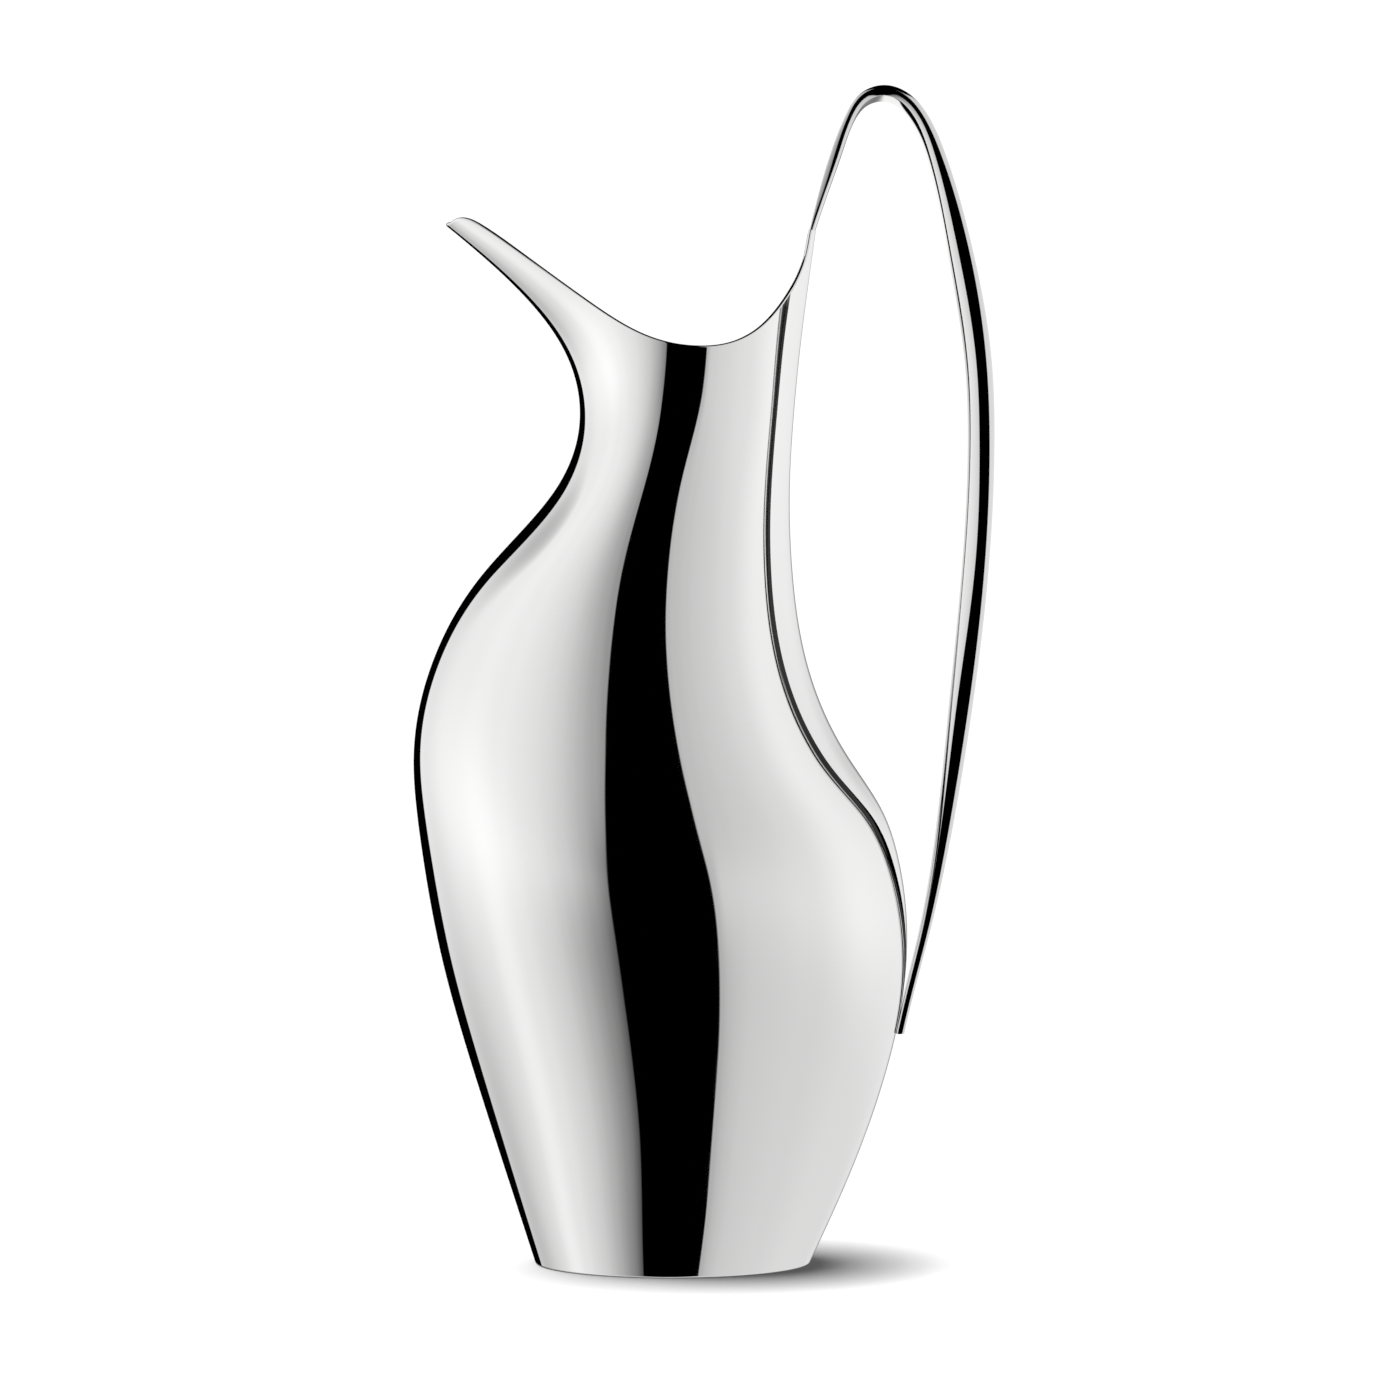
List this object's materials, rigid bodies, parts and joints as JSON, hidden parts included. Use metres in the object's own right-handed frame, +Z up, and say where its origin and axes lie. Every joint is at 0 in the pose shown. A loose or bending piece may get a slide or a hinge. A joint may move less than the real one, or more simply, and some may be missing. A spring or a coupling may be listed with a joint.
{
  "type": "water pitcher",
  "caption": "Mirror-polished oval water pitcher with a waisted belly, a beak spout and a tall slim handle that loops from the back rim down to the belly.",
  "frame": {"origin": "on the table, under the middle of the pitcher's overall box", "axes": "+X from the spout towards the handle, +Y across the vessel, +Z up from the table"},
  "size_m": [0.1431, 0.1056, 0.2892],
  "materials": {
    "polished_silver": "mirror-polished silver sheet",
    "handle_silver": "mirror-polished silver, solid ends and pressed grip",
    "satin_silver": "satin silver sheet of the base"
  },
  "bodies": {
    "root": {"vessel_left_half": "polished_silver", "vessel_right_half": "polished_silver", "base_plate": "satin_silver", "handle_stem": "handle_silver", "grip_outer_shell": "handle_silver", "grip_inner_shell": "handle_silver", "handle_tip": "handle_silver"}
  },
  "joints": []
}
